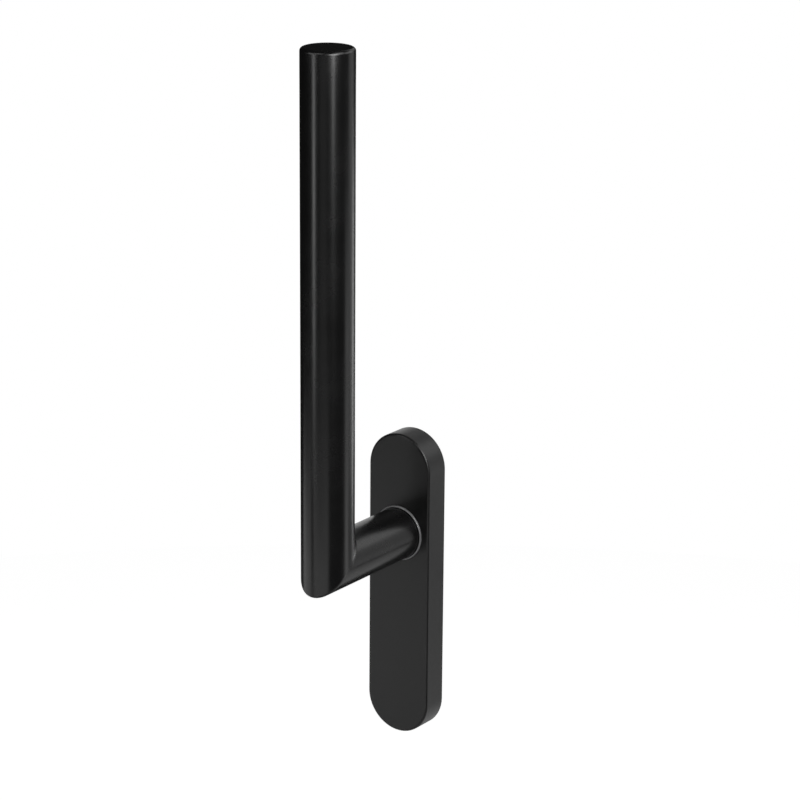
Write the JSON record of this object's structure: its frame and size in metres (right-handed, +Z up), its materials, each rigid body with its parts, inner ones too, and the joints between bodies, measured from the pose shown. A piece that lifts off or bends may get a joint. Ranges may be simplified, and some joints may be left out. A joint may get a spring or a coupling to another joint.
{
  "type": "lift-and-slide patio door handle",
  "caption": "Patio door handle: an upright round-tube lever with a mitred neck turns in a long plate with round ends, over a square spindle socket.",
  "frame": {"origin": "on the spindle's axis in the plane of the door's face, which is the back of the plate", "axes": "+Z up along the grip, +Y into the door along the spindle's axis, +X to the right as seen from the room"},
  "size_m": [0.038, 0.0875, 0.3735],
  "materials": {
    "lever_coating": "satin black powder coat",
    "cover_coating": "satin black powder coat",
    "hub_metal": "turned",
    "screw_metal": "black oxide",
    "ring_plastic": "satin",
    "base_metal": "die cast",
    "bush_plastic": "moulded",
    "washer_metal": "zinc plated",
    "spring_metal": "spring steel"
  },
  "bodies": {
    "plate": {"base_plate": "base_metal", "cover": "cover_coating", "neck_ring": "ring_plastic", "bearing_bush": "bush_plastic", "thrust_washer": "washer_metal", "wave_washer": "spring_metal", "cover_spring_lower_left": "spring_metal", "cover_spring_lower_right": "spring_metal", "cover_spring_upper_left": "spring_metal", "cover_spring_upper_right": "spring_metal"},
    "lever": {"lever": "lever_coating", "grip_end_cap": "lever_coating", "neck_hub": "hub_metal", "spindle_screw": "screw_metal", "retaining_ring": "spring_metal"}
  },
  "joints": [
    {"name": "lever_turn", "type": "hinge", "parent": "plate", "child": "lever", "pos_m": [0, 0, 0], "axis": [0, 1, 0], "range_deg": [0, 180]}
  ]
}
